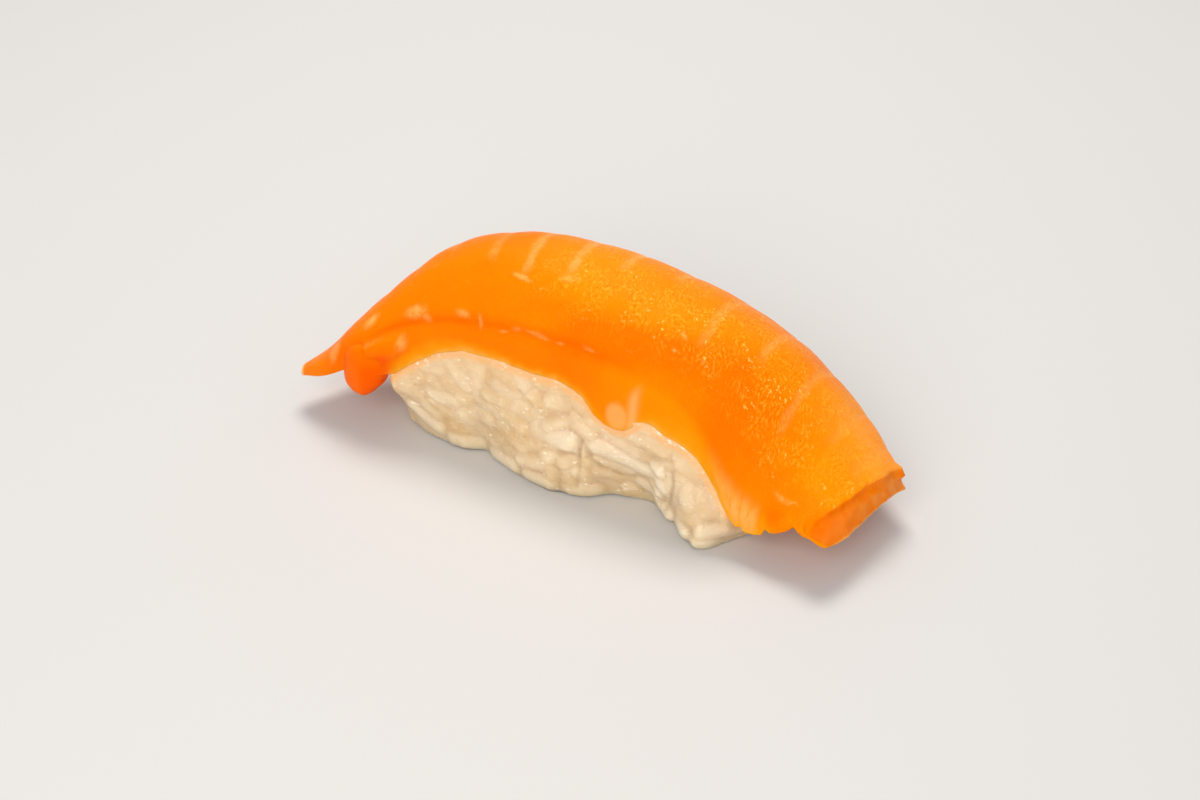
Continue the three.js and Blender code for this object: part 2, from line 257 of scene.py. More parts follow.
CREVICES = (  # X and Z of both ends, depth
    (-1.6, 9.2, -1.9, 6.6, 0.45),
    (-1.9, 6.6, -1.7, 4.6, 0.25),
    (-1.7, 4.6, -2.2, 2.0, 0.15),
    (-6.8, 7.0, -4.4, 6.5, 0.1),
    (-4.4, 6.5, -1.8, 7.2, 0.25),
    (-1.3, 8.9, -0.4, 6.4, 0.3),
    (-0.4, 6.4, 0.8, 5.2, 0.35),
    (0.8, 5.2, 3.0, 4.3, 0.2),
    (8.0, 10.0, 11.6, 10.9, 0.15),
    (11.4, 9.2, 11.7, 7.4, 0.3),
    (11.7, 7.4, 11.2, 5.0, 0.3),
    (11.2, 5.0, 10.0, 1.8, 0.25),
)
CREVICE_WIDTH = 0.3
CREVICE_TIP = 0.1  # width of its ends
FISH_BITE = 0.5  # how far the rice reaches into the soft underside of the slice
VOXEL = 0.3
CHUNK = 2000  # points whose distances are worked out at a time
SEED = 20


# ---- small tools ----

def ease(low, high, value):
    """0 at low, 1 at high and smooth between them."""
    share = np.clip((value - low) / (high - low), 0, 1)
    return share * share * (3 - 2 * share)


def within(value, start, whole, whole_until, end):
    """1 between the two middle places, and smoothly down to 0 at the outer ones."""
    return ease(start, whole, value) * ease(end, whole_until, value)


def read_off(table, place):
    """What a table of places and values says, in straight lines between its rows."""
    return np.interp(place, *zip(*table))


def bell(value, middle, width):
    return np.exp(-(((value - middle) / width) ** 2))


def lengths(vectors):
    return np.sqrt((vectors * vectors).sum(-1))


def unit(vectors):
    return vectors / np.maximum(lengths(vectors), 1e-9)[..., None]


def smooth_noise(points, size, seed=0.0):
    """Smooth noise in -1..1 at each point, with lumps of a given size."""
    shift = Vector((seed * 17.3, seed * -9.1, seed * 5.7))
    return np.array([noise.noise(Vector(point) / size + shift) for point in points])


def curve_through(values, share, straight_ends=True):
    """Catmull-Rom curve through the rows of values, at shares 0..1 of the way along."""
    values = np.asarray(values, float)
    if straight_ends:
        ends = (2 * values[0] - values[1], 2 * values[-1] - values[-2])
    else:
        ends = (values[0], values[-1])
    row = np.vstack([ends[0], values, ends[1]])
    place = np.clip(share, 0, 1) * (len(values) - 1)
    step = np.minimum(place.astype(int), len(values) - 2)
    part = (place - step)[..., None]
    before, start, end, after = (row[step + offset] for offset in range(4))
    slope_in = (end - before) / 2
    slope_out = (after - start) / 2
    cubic = 2 * start - 2 * end + slope_in + slope_out
    square = 3 * end - 3 * start - 2 * slope_in - slope_out
    return ((cubic * part + square) * part + slope_in) * part + start


def box_grid(steps):
    """Places (0..1 on each axis) and outward quads of a box whose faces are cut into steps."""
    faces = []
    for axis in range(3):
        one, two = (axis + 1) % 3, (axis + 2) % 3
        rows, columns = np.meshgrid(np.arange(steps[one]), np.arange(steps[two]), indexing="ij")
        for side in (0, steps[axis]):
            ring = ((0, 0), (1, 0), (1, 1), (0, 1)) if side else ((0, 0), (0, 1), (1, 1), (1, 0))
            quad = np.zeros(rows.shape + (4, 3), int)
            for turn, (down, right) in enumerate(ring):
                quad[..., turn, axis] = side
                quad[..., turn, one] = rows + down
                quad[..., turn, two] = columns + right
            faces.append(quad.reshape(-1, 4, 3))
    corners = np.concatenate(faces).reshape(-1, 3)
    keys = (corners[:, 0] * 1000 + corners[:, 1]) * 1000 + corners[:, 2]
    _, first, index = np.unique(keys, return_index=True, return_inverse=True)
    return corners[first] / np.array(steps, float), index.reshape(-1, 4)


def point_normals(points, faces):
    one = points[faces[:, 2]] - points[faces[:, 0]]
    two = points[faces[:, -1]] - points[faces[:, 1]]
    facing = np.cross(one, two)
    total = np.zeros_like(points)
    for axis in range(3):
        for corner in range(faces.shape[1]):
            total[:, axis] += np.bincount(faces[:, corner], facing[:, axis], len(points))
    return unit(total)


def make_mesh(name, points, faces, attributes):
    """Object in metres from points in millimetres, with smooth shading and one value or vector a point."""
    mesh = bpy.data.meshes.new(name)
    mesh.from_pydata(((points + tail_shift) * MM).tolist(), [], faces.tolist())
    for title, values in attributes.items():
        kind = "FLOAT_VECTOR" if values.ndim == 2 else "FLOAT"
        layer = mesh.attributes.new(title, kind, "POINT")
        layer.data.foreach_set("vector" if values.ndim == 2 else "value", values.ravel())
    mesh.shade_smooth()
    piece = bpy.data.objects.new(name, mesh)
    bpy.context.scene.collection.objects.link(piece)
    return piece


def applied(piece):
    """Mesh of a piece with its modifiers applied."""
    depsgraph = bpy.context.evaluated_depsgraph_get()
    return bpy.data.meshes.new_from_object(piece.evaluated_get(depsgraph))


def rows_of(items, title, width, kind=int):
    """One row of numbers for each item of a mesh, such as the two ends of each edge."""
    values = np.zeros(len(items) * width, kind)
    items.foreach_get(title, values)
    return values.reshape(-1, width)


def mesh_points(mesh):
    """Points of a mesh in millimetres."""
    return rows_of(mesh.vertices, "co", 3, np.float32) / MM - tail_shift


def in_chunks(measure, points):
    """What a function measures at each point, worked out for some points at a time."""
    return np.concatenate([measure(points[at:at + CHUNK]) for at in range(0, len(points), CHUNK)])


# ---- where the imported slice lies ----

def find_tail_shift():
    """The back corner of the tail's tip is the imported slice's lowest X."""
    corner = min((vertex.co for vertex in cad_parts["salmon"].data.vertices), key=lambda co: co.x)
    tip = BACK_RAIL[0]
    return np.array([corner.x / MM - tip[0], corner.y / MM - tip[1], 0.0])


tail_shift = find_tail_shift()


# ---- the slice ----

def thickness(along, across):
    table = list(zip(THICKNESSES, RIM_SHARES))
    thick, rim = curve_through(table, along, straight_ends=False).T
    return np.where(across < 0, thick * (1 - (1 - rim) * across**2), thick)


def slice_top(along, across):
    front, crown, back = (curve_through(rail, along) for rail in (FRONT_RAIL, CROWN_RAIL, BACK_RAIL))
    rise = 1 - np.abs(across) ** CROWN_POWER
    share = (across + 1) / 2
    return front + (back - front) * share[:, None] + (crown - (front + back) / 2) * rise[:, None]


def slice_underside(along, across):
    point = slice_top(along, across)
    point[:, 2] -= thickness(along, across)
    point[:, 1] += UNDERSIDE_SPREAD * across * np.minimum(1, along / TAIL_TAPER)
    point[:, 0] += (END_LEAN - END_LEAN_TURN * across) * along**8
    return point


ARC_TABLE = np.linspace(0, 1, 801)
CROWN_STEPS = np.diff(curve_through(CROWN_RAIL, ARC_TABLE), axis=0)
ARC_LENGTH = np.concatenate([[0], np.cumsum(lengths(CROWN_STEPS))])
ACROSS_TABLE = np.linspace(-1, 1, 41)


def along_at(arc):
    """Share of the way along the rails at an arc length."""
    return np.interp(arc, ARC_LENGTH, ARC_TABLE)


def section_half_width(along):
    """Half the distance across the top of the slice."""
    table = np.linspace(0, 1, 81)
    widths = []
    for place in table:
        line = slice_top(np.full_like(ACROSS_TABLE, place), ACROSS_TABLE)
        widths.append(lengths(np.diff(line, axis=0)).sum() / 2)
    return np.interp(along, table, widths)


def slice_form():
    """Points, quads and flesh places (arc length, across -1..1, depth share) of the slice."""
    share, quads = box_grid(SLICE_GRID)
    total = ARC_LENGTH[-1]
    along = along_at(share[:, 0] * total)
    across = 2 * share[:, 1] - 1
    half = np.stack([
        np.full(len(share), total / 2),
        section_half_width(along),
        thickness(along, across) / 2,
    ], axis=1)
    nearest_cut = total * (1 - share[:, 0])
    from_ends = ease(0, 6, nearest_cut) * ease(0, 9, total * share[:, 0])
    lower_rim = 1 - (1 - RIM_EDGE) * ease(0.4, 0.9, 1 - share[:, 2]) * (across < 0)
    wanted = CUT_ROUNDING + (RIM_ROUNDING * lower_rim - CUT_ROUNDING) * from_ends
    wanted += CORNER_ROUNDING * ease(0.2, 0.03, share[:, 1]) * ease(5, 1, nearest_cut)
    radius = np.minimum(wanted, 0.95 * half[:, 2])
    block = (2 * share - 1) * half
    inner = np.clip(block, radius[:, None] - half, half - radius[:, None])
    outer = block - inner
    block = inner + outer * (radius / np.maximum(lengths(outer), 1e-9))[:, None]
    arc = block[:, 0] + total / 2
    along = along_at(arc)
    across = block[:, 1] / half[:, 1]
    depth = np.clip(0.5 - block[:, 2] / (2 * half[:, 2]), 0, 1)
    place = across + read_off(NOTCH, arc) * np.maximum(0, -across) ** 3
    top, underside = rim_raised(slice_top(along, place), slice_underside(along, place), arc, across)
    points = top + (underside - top) * depth[:, None]
    points[:, 0] += cut_unevenness(points, total - arc, across, depth)
    return points, quads, arc, across, depth


def cut_unevenness(points, from_cut, across, depth):
    """The far corner of the cut end stands out above and below, and its top edge lies back at the front."""
    corner = ease(0.55, 0.3, depth) + 0.5 * ease(0.7, 1.0, depth)
    ear = CUT_EAR * bell(across, 1.0, 0.16) * corner
    groove = CUT_GROOVE * bell(depth, 0.2, 0.14) * ease(1.0, 0.8, np.abs(across))
    rough = CUT_ROUGHNESS * smooth_noise(points, 1.1, 5)
    on_face = (ear - groove + rough) * ease(1.0, 0.2, from_cut)
    slant = 0.6 * bell(across, 0.5, 0.3) - CUT_SLANT * ease(-0.1, -0.9, across)
    return on_face + slant * (1 - depth) * ease(5, 0, from_cut)


def fat_phase(arc, across, half):
    """Counts the lines of fat, so that it is whole on each line. Also gives the band's width there."""
    line_place = arc + FAT_LEAN * across * half - FAT_CURVE * half * across**2
    spacing = FAT_LINES[1] - FAT_LINES[0]
    lines = [FAT_LINES[0] - 3 * spacing, *FAT_LINES, FAT_LINES[-1] + 6 * spacing]
    numbers = [-3, *range(len(FAT_LINES)), len(FAT_LINES) + 5]
    phase = np.interp(line_place, lines, numbers)
    width = 1 / np.maximum(np.gradient(np.interp(ARC_LENGTH, lines, numbers), ARC_LENGTH), 1e-3)
    return phase, np.interp(line_place, ARC_LENGTH, width), line_place


def front_thickness(arc):
    along = along_at(arc)
    return thickness(along, np.full_like(along, -1.0))


def front_height(arc):
    """Height of the front face, from the front shoulder down to the uneven rim."""
    return np.maximum(front_thickness(arc) - read_off(RIM_RAISE, arc), THINNEST_RIM)


def from_shoulder(arc, across, depth, half):
    """Distance over the skin behind the front shoulder, or down the front face as less than 0."""
    return (across + 1) * half - depth * front_height(arc)


def fleck_and_highlight_field(arc, place):
    """Strength of the small bits of fat, and of the painted highlight along the rolled rim."""
    field = np.zeros_like(arc)
    for at, behind, length, width, turn, strength in FLECKS_AND_HIGHLIGHT:
        ahead = arc - at
        aside = place - behind
        cos, sin = math.cos(math.radians(turn)), math.sin(math.radians(turn))
        lengthwise = (ahead * cos + aside * sin) / (0.55 * length)
        crosswise = (aside * cos - ahead * sin) / (0.55 * width)
        field = np.maximum(field, strength * np.exp(-lengthwise**2 - crosswise**2))
    return field


def marbling(arc, across):
    """Strength of the lines of fat, which fade before they reach the front."""
    reached = ease(-0.06, 0.12, across - read_off(FAT_FRONT_END, arc))
    return read_off(FAT_STRENGTH, arc) * reached * (1 - 0.5 * ease(0.7, 1.0, across))


def rim_raised(top, underside, arc, across):
    """Top and underside with the uneven front rim. The top gives way only where the rim is thin."""
    raised = read_off(RIM_RAISE, arc)
    share = np.where(across < 0, np.abs(across) ** RIM_FALLOFF, 0)
    top_raised = np.maximum(0, raised - (front_thickness(arc) - THINNEST_RIM))
    top[:, 2] += top_raised * share
    underside[:, 2] += raised * share
    underside[:, 1] += FLAP_SPREAD * np.minimum(0, raised) * share
    return top, underside


def slice_relief(points, arc, across, depth, phase, place, flecks_and_highlight):
    """Height that the finer form adds to the slice, along its outward direction."""
    upper = 1 - ease(0.15, 0.5, depth)
    taper = np.minimum(1, arc / 25)
    bands = BAND_RISE * (np.sqrt(np.abs(np.sin(math.pi * phase))) - 1) * taper * upper
    bands *= ease(-0.8, -0.1, across)
    crease = -CREASE_DEPTH * bell(place, CREASE_PLACE, CREASE_WIDTH) * within(arc, *CREASE_ARCS)
    crease *= depth < 0.6
    front = ease(-0.93, -1.0, across)
    roll = ROLL * within(arc, *ROLL_ARCS) * within(depth, *ROLL_DEPTHS) * front
    lumps = LUMP_RISE * smooth_noise(points, LUMP_SIZE, 1)
    ripples = RIPPLE_RISE * smooth_noise(points, RIPPLE_SIZE, 2)
    return bands + crease + roll + (lumps + ripples) * np.minimum(1, arc / 10) + FLECK_RISE * flecks_and_highlight


def lobe_form():
    """Points and quads of the lobe that hangs under the tail."""
    share, quads = box_grid((28, 20, 28))
    ball = unit(2 * share - 1)
    angle = np.degrees(np.arctan2(ball[:, 2], ball[:, 0])) % 360
    turns, reaches = np.array(LOBE_OUTLINE).T
    around = np.concatenate([turns - 360, turns, turns + 360])
    reach = np.interp(angle, around, np.tile(reaches, 3))
    spread = np.sqrt(ball[:, 0] ** 2 + ball[:, 2] ** 2)
    flat = reach * spread**LOBE_BLUNTNESS / np.maximum(spread, 1e-6)
    point = np.stack([
        ball[:, 0] * flat,
        np.sign(ball[:, 1]) * np.abs(ball[:, 1]) ** LOBE_BLUNTNESS * LOBE_HALF_DEPTH,
        ball[:, 2] * flat,
    ], axis=1)
    point[:, 1] += LOBE_TURN * np.maximum(0, point[:, 0])
    return point + np.array(LOBE_CENTRE), quads


def seam_softened(piece):
    """Lets the flesh run together where the lobe joins the slice."""
    mesh = piece.data
    points = mesh_points(mesh)
    in_lobe = rows_of(mesh.attributes["lobe"].data, "value", 1, np.float32)[:, 0] > 0.5
    edges = rows_of(mesh.edges, "vertices", 2)
    seam = points[edges[in_lobe[edges[:, 0]] != in_lobe[edges[:, 1]]].ravel()]
    middle = seam.mean(axis=0)
    region = np.flatnonzero(lengths(points - middle) < lengths(seam - middle).max() + SEAM_REACH)
    distance = in_chunks(lambda some: lengths(some[:, None] - seam).min(axis=1), points[region])
    nearby = np.zeros(len(points))
    nearby[region] = ease(SEAM_REACH, 0, distance)
    points = softened(points, edges, nearby * 0.5, 16)
    mesh.vertices.foreach_set("co", ((points + tail_shift) * MM).ravel())
    mesh.update()


def veil(arc, place, above_rim):
    """Where the hanging flesh is so thin that a grain and a pleat show through."""
    around_grain = np.hypot(arc - SEEN_THROUGH[0], place - SEEN_THROUGH[1])
    pleat = 0.9 * bell(arc, PLEAT_ARC, 0.7) * ease(6.4, 4.4, above_rim)
    return np.maximum(0.8 * ease(2.0, 1.2, around_grain), pleat)


def film(arc, place):
    """Thin flesh beside the rice near the cut end."""
    return ease(1.4, -1.2, place) * within(arc, *FILM_ARCS)


def far_paleness(arc, across):
    """The flesh is thinner and paler towards the far corner of the cut end."""
    return 0.4 * ease(80, 89, arc) * bell(across, 0.75, 0.5)


def tail_redness_and_shade(points):
    """The loose flesh at the tail is redder, with painted shade on the lobe's right side under the roll."""
    x, _, z = points.T
    # Painted shade on the right side of the lobe, under the roll.
    hollow = ease(-35.5, -33.5, x) * ease(11.5, 9.5, z)
    return ease(15.5, 10, z) * within(x, -42, -38, -31, -27) * (0.55 + 0.4 * hollow)


def painted_fold_shade(arc, place):
    """Painted shade: the flesh is deeper in colour along the crease, in the fold of the rim near the cut
    end and in the hollow under the roll.
    """
    crease = 0.5 * bell(place, CREASE_PLACE - 0.3, 0.6) * within(arc, *CREASE_ARCS)
    fold = 0.6 * bell(arc, 88.4, 1.5) * bell(place, 0.2, 1.3)
    under_roll = 0.8 * bell(arc, 20.6, 2.0) * bell(place, -3.5, 1.0)
    return crease + fold + under_roll


def pale_rim(arc, above_rim):
    """Where the rim lies on the rice, its last millimetre takes on the rice's colour."""
    return ease(1.1, 0.1, above_rim) * within(arc, *PALE_RIM_ARCS) * (1 - within(arc, *HANGING_ARCS))


def thin_rim(arc, above_rim):
    """The lower rim is thin and more yellow, reaching further up near the tail and before the cut end."""
    reach = 1.9 + 1.8 * ease(38, 30, arc) + 2.6 * bell(arc, 73, 6)
    return ease(reach, 0.2, above_rim) * within(arc, *THIN_RIM_ARCS)


def golden_and_sheen(arc, across, place):
    """The right half is yellower, with a painted sheen over its top, but for a stripe of deeper colour that
    runs along its front.
    """
    stripe_place = -0.85 + 0.5 * ease(55, 78, arc)
    stripe_width = 0.2 + 0.12 * ease(62, 78, arc)
    stripe = bell(across, stripe_place, stripe_width) * within(arc, *STRIPE_ARCS)
    # Painted sheen: the top of the right half is made yellower, as if lit from above.
    on_top = 0.45 * ease(36, 50, arc) * within(across, -0.75, -0.4, 0.3, 1.0)
    on_front = 0.5 * ease(1.0, -1.0, place) * ease(50, 60, arc)
    far_corner = 0.4 * ease(78, 88, arc) * ease(0.0, 0.6, across)
    return np.clip(0.35 + on_top + on_front + far_corner - 0.6 * stripe, 0, 1)


def fibrous(arc, across):
    """Where the cut threads of the flesh show: on the right half, and less towards the cut end."""
    return ease(38, 52, arc) * ease(-0.9, -0.4, across) * (1 - 0.4 * ease(78, 90, arc))


def salmon_piece():
    points, quads, arc, across, depth = slice_form()
    half = section_half_width(along_at(arc))
    phase, band_width, line_place = fat_phase(arc, across, half)
    place = from_shoulder(arc, across, depth, half)
    flecks_and_highlight = fleck_and_highlight_field(arc, place) * ease(1.0, 0.8, depth)
    relief = slice_relief(points, arc, across, depth, phase, place, flecks_and_highlight)
    points = points + point_normals(points, quads) * relief[:, None]
    above_rim = place + front_height(arc)
    uneven_rim = above_rim + 0.5 * smooth_noise(points, 1.4, 3)
    on_top = 1 - ease(0.1, 0.4, depth)
    attributes = {
        "flesh": np.stack([arc, across * half, depth * FLESH_DEPTH], axis=1),
        "phase": phase,
        "band_width": band_width,
        "line_place": line_place,
        "marbling": marbling(arc, across) * on_top,
        # Yellower tone of the right half, with the painted sheen over its top.
        "gold": golden_and_sheen(arc, across, place),
        "fibre": fibrous(arc, across) * on_top,
        "fleck": flecks_and_highlight,
        "rim": thin_rim(arc, uneven_rim),
        "pale": pale_rim(arc, uneven_rim),
        "veil": veil(arc, place, above_rim),
        "film": film(arc, place) + far_paleness(arc, across) * on_top,
        "cut": ease(0.3, 0.1, ARC_LENGTH[-1] - arc) * ease(0.02, 0.08, depth),
        "tip": ease(0.8, 0.1, arc),
        # Redder loose flesh at the tail, with painted shade in the crease, the folds and under the roll.
        "red": np.clip(tail_redness_and_shade(points) + painted_fold_shade(arc, place), 0, 1),
    }
    piece = make_mesh("salmon_slice", points, quads, attributes)
    piece.data.attributes.new("lobe", "FLOAT", "POINT")
    form, faces = lobe_form()
    values = {title: np.zeros(len(form)) for title in attributes}
    values["flesh"] = form
    values["gold"] = np.full(len(form), 0.2)
    values["red"] = tail_redness_and_shade(form)
    values["lobe"] = np.ones(len(form))
    lobe = make_mesh("lobe", form, faces, values)
    join = piece.modifiers.new("join", "BOOLEAN")
    join.operation = "UNION"
    join.solver = "MANIFOLD"
    join.object = lobe
    piece.data = applied(piece)
    piece.modifiers.clear()
    bpy.data.objects.remove(lobe)
    seam_softened(piece)
    return piece


# ---- materials ----

def srgb(*channels):
    """Blender's colour for red, green and blue of 0 to 255."""
    shares = [value / 255 for value in channels]
    linear = [c / 12.92 if c <= 0.04045 else ((c + 0.055) / 1.055) ** 2.4 for c in shares]
    return (*linear, 1.0)


class Graph:
    """A material's nodes, made one line at a time, with the colour they have come to so far."""

    def __init__(self, name):
        self.material = bpy.data.materials.new(name)
        self.material.use_nodes = True
        self.tree = self.material.node_tree

    def node(self, kind, *inputs, **settings):
        made = self.tree.nodes.new(kind)
        for setting, value in settings.items():
            setattr(made, setting, value)
        for place, value in enumerate(inputs):
            self.put(made.inputs[place], value)
        return made

    def put(self, socket, value):
        """Sets a socket, or links it to another node's socket or to the attribute with that name."""
        if isinstance(value, str):
            value = self.node("ShaderNodeAttribute", attribute_name=value).outputs["Fac"]
        if isinstance(value, bpy.types.NodeSocket):
            self.tree.links.new(value, socket)
        else:
            socket.default_value = value

    def fill(self, made, **values):
        """Puts values into a node's sockets by their titles, with _ for a space."""
        for title, value in values.items():
            self.put(made.inputs[title.replace("_", " ")], value)
        return made

    def math(self, operation, *values):
        return self.node("ShaderNodeMath", *values, operation=operation).outputs[0]

    def times(self, one, two):
        return self.math("MULTIPLY", one, two)

    def add(self, one, two):
        return self.math("ADD", one, two)

    def spread(self, value, low, high):
        """A value of 0..1 turned into one of low..high."""
        return self.math("MULTIPLY_ADD", value, high - low, low)

    def step(self, value, low, high):
        """0 at low, 1 at high and smooth between them."""
        return self.node("ShaderNodeMapRange", value, low, high, interpolation_type="SMOOTHSTEP").outputs[0]

    def scaled(self, place, scale):
        return self.node("ShaderNodeVectorMath", place, scale, operation="MULTIPLY").outputs[0]

    def mix(self, share, one, two):
        made = self.node("ShaderNodeMix", share, data_type="RGBA")
        sockets = {socket.identifier: socket for socket in (*made.inputs, *made.outputs)}
        self.put(sockets["A_Color"], one)
        self.put(sockets["B_Color"], two)
        return sockets["Result_Color"]

    def tint(self, rgb, amount, share=1):
        """Turns the colour so far towards another one, by a share of an amount."""
        if share != 1:
            amount = self.times(amount, share)
        self.colour = self.mix(amount, self.colour, srgb(*rgb))

    def noise(self, size, detail=2.0, rough=0.5, stretch=None, place=None):
        """Noise of 0..1 with lumps of a given size."""
        place = place or self.place
        if stretch:
            place = self.scaled(place, stretch)
        made = self.node("ShaderNodeTexNoise")
        return self.fill(made, Vector=place, Scale=1 / size, Detail=detail, Roughness=rough).outputs[0]

    def bump(self, height, distance):
        return self.fill(self.node("ShaderNodeBump"), Height=height, Distance=distance * MM).outputs[0]

    def finish(self, **values):
        self.fill(self.tree.nodes["Principled BSDF"], **values)
        return self.material


def add_fibres(graph, across, down):
    """Fine threads and painted yellow glints of highlight, in patches where the flesh is fibrous. Gives the
    threads' height.
    """
    warp = graph.spread(graph.noise(4.5), -1.8, 1.8)
    swirl = graph.spread(graph.noise(3.5, 1.0, stretch=(1.0, -1.0, 1.0)), -1.5, 1.5)
    thread_place = graph.node(
        "ShaderNodeCombineXYZ", graph.add("line_place", warp), graph.add(across, swirl), down,
    ).outputs[0]
    threads = graph.noise(0.32, stretch=(1.0, 0.5, 0.6), place=thread_place)
    patches = graph.times(graph.step(graph.noise(3.0, 3.0), 0.36, 0.58), "fibre")
    graph.tint((255, 178, 46), graph.times(graph.step(threads, 0.46, 0.7), patches), 0.55)
    graph.tint((222, 104, 0), graph.times(graph.step(threads, 0.46, 0.34), patches), 0.5)
    # Painted highlight: clusters of small yellow glint spots in the base colour.
    clusters = graph.times(graph.step(graph.noise(3.6), 0.5, 0.62), "fibre")
    glints = graph.times(graph.step(graph.noise(0.55), 0.59, 0.69), clusters)
    graph.tint((255, 206, 96), glints, 0.75)
    return graph.times(threads, "fibre")


def add_fat(graph):
    """Broken lines of fat, small bits of fat, and the painted highlight along the rolled rim."""
    wander = graph.spread(graph.noise(2.2, 3.0), -0.08, 0.08)
    from_line = graph.math("PINGPONG", graph.add("phase", wander), 0.5)
    line = graph.step(graph.times(from_line, "band_width"), 1.0, 0.1)
    broken = graph.step(graph.noise(1.2, 3.0, 0.6), 0.3, 0.65)
    strength = graph.times(graph.times(line, "marbling"), graph.spread(broken, 0.25, 0.7))
    graph.tint((255, 180, 100), strength)
    streaked = graph.spread(graph.noise(0.9, 3.0, 0.65), -0.9, 0.9)
    # Small bits of fat, with the painted highlight along the rolled rim.
    fleck = graph.step(graph.add("fleck", graph.times(streaked, "fleck")), 0.15, 0.95)
    graph.tint((255, 182, 94), fleck, 0.7)


def cut_face(graph, across, down):
    """Colour of the cut end: streaked, blotched below, deeper towards the front and pale along its foot."""
    depth = graph.math("DIVIDE", down, FLESH_DEPTH)
    streaks = graph.noise(1.0, 5.0, 0.65, stretch=(1.0, 1.2, 0.4))
    blotch = graph.times(graph.step(graph.noise(3.2), 0.38, 0.62), graph.step(depth, 0.15, 0.5))
    graph.colour = graph.mix(graph.step(streaks, 0.35, 0.75), srgb(248, 120, 0), srgb(252, 140, 22))
    graph.tint((252, 158, 64), blotch, 0.6)
    graph.tint((216, 96, 0), graph.step(across, 6, -7), 0.6)
    graph.tint((255, 176, 92), graph.step(depth, 0.86, 0.98))
    return graph.colour


def salmon_material():
    graph = Graph("salmon")
    graph.place = graph.node("ShaderNodeAttribute", attribute_name="flesh").outputs["Vector"]
    _, across, down = graph.node("ShaderNodeSeparateXYZ", graph.place).outputs
    cut_colour = cut_face(graph, across, down)
    # Deep orange to yellow orange: the flesh's own tone, with the painted sheen over the top of the right
    # half.
    golden_and_sheen = graph.add("gold", graph.spread(graph.noise(6.0, 3.0), -0.2, 0.2))
    graph.colour = graph.mix(golden_and_sheen, srgb(252, 110, 0), srgb(251, 142, 2))
    threads = add_fibres(graph, across, down)
    add_fat(graph)
    # Redder loose flesh at the tail, with painted shade in the crease, the folds and under the roll.
    graph.tint((248, 90, 0), "red")
    thin = graph.step(graph.noise(1.2, 3.0, 0.6, stretch=(1.0, 0.5, 0.5)), 0.15, 0.6)
    graph.tint((244, 168, 82), graph.times("film", thin))
    graph.tint((252, 155, 16), "rim", 0.85)
    graph.tint((248, 172, 84), "pale", 0.55)
    graph.tint((248, 172, 96), "veil", 0.9)
    graph.colour = graph.mix("cut", graph.colour, cut_colour)
    graph.tint((250, 205, 140), "tip")
    return graph.finish(
        Base_Color=graph.colour,
        Roughness=graph.spread(graph.noise(1.5, 3.0), 0.26, 0.46),
        Normal=graph.bump(graph.add(threads, graph.noise(0.35, 3.0, 0.6)), 0.07),
        Subsurface_Weight=0.3,
        Subsurface_Radius=(1.0, 0.4, 0.1),
        Subsurface_Scale=2.0 * MM,
        Specular_IOR_Level=0.06,
        Specular_Tint=srgb(255, 180, 60),
    )


def rice_material():
    graph = Graph("rice")
    graph.place = graph.scaled(graph.node("ShaderNodeTexCoord").outputs["Object"], (1 / MM, 1 / MM, 1 / MM))
    graph.colour = graph.mix("tint", srgb(220, 184, 130), srgb(230, 208, 172))
    graph.tint((240, 216, 176), graph.step(graph.noise(1.8, 3.0), 0.42, 0.68), 0.5)
    # Painted shade: darker towards the foot.
    graph.tint((196, 164, 112), "low", 0.4)
    # Painted highlight: whiter on the crests of the grains.
    graph.tint((244, 228, 200), "crest", 0.5)
    # Painted shade in the crevices between grains.
    graph.tint((168, 122, 70), "crevice")
    # Painted glow: peach light from the salmon on the rice near its rim.
    graph.tint((244, 178, 106), graph.times("peach", graph.step(graph.noise(2.5), 0.0, 0.5)))
    # Painted highlight: small white glints in clusters.
    rice_glints = graph.step(graph.noise(0.5, stretch=(0.45, 1.0, 1.0)), 0.6, 0.72)
    graph.tint((255, 244, 222), graph.times(rice_glints, graph.step(graph.noise(3.2), 0.44, 0.6)), 0.7)
    normal = graph.bump(graph.add(graph.noise(0.5, 3.0, 0.6), graph.noise(1.8)), 0.14)
    return graph.finish(
        Base_Color=graph.colour,
        Roughness=graph.spread(graph.noise(0.8, 3.0), 0.2, 0.45),
        Normal=normal,
        Coat_Normal=normal,
        Coat_Weight=0.6,
        Coat_Roughness=0.06,
        Subsurface_Weight=graph.times("clear", 0.9),
        Subsurface_Radius=(1.0, 0.8, 0.55),
        Subsurface_Scale=2.5 * MM,
        Specular_IOR_Level=0.5,
    )


# ---- rice ----

def block_gauge(point):
    """1 on the skin of the rice block, less inside. A point under the waist is on the lower half."""
    x = point[:, 0] - RICE_MIDDLE
    z = point[:, 2] - RICE_WAIST
    y = point[:, 1].copy()
    fade = np.maximum(0, 1 - np.maximum(0, point[:, 2]) / CLUMP_TOP)
    frontness = np.clip(-y / RICE_HALF_WIDTH / CLUMP_ONSET, 0, 1)
    for at, depth, width in FOOT_CLUMPS:
        y += depth * fade * frontness * bell(point[:, 0], at, width)
    y += read_off(RIM_FILL, point[:, 0]) * frontness * ease(5, 11, point[:, 2])
    top = RICE_HEIGHT - RICE_DROOP * np.minimum(1.1, np.abs(x / RICE_HALF_LENGTH)) ** 2 - RICE_WAIST
    half_height = np.where(z > 0, top, RICE_FOOT_DEPTH)
    p = RICE_SQUARENESS
    total = (np.abs(x / RICE_HALF_LENGTH) ** p + np.abs(y / RICE_HALF_WIDTH) ** p
             + np.abs(z / half_height) ** p)
    return total ** (1 / p)


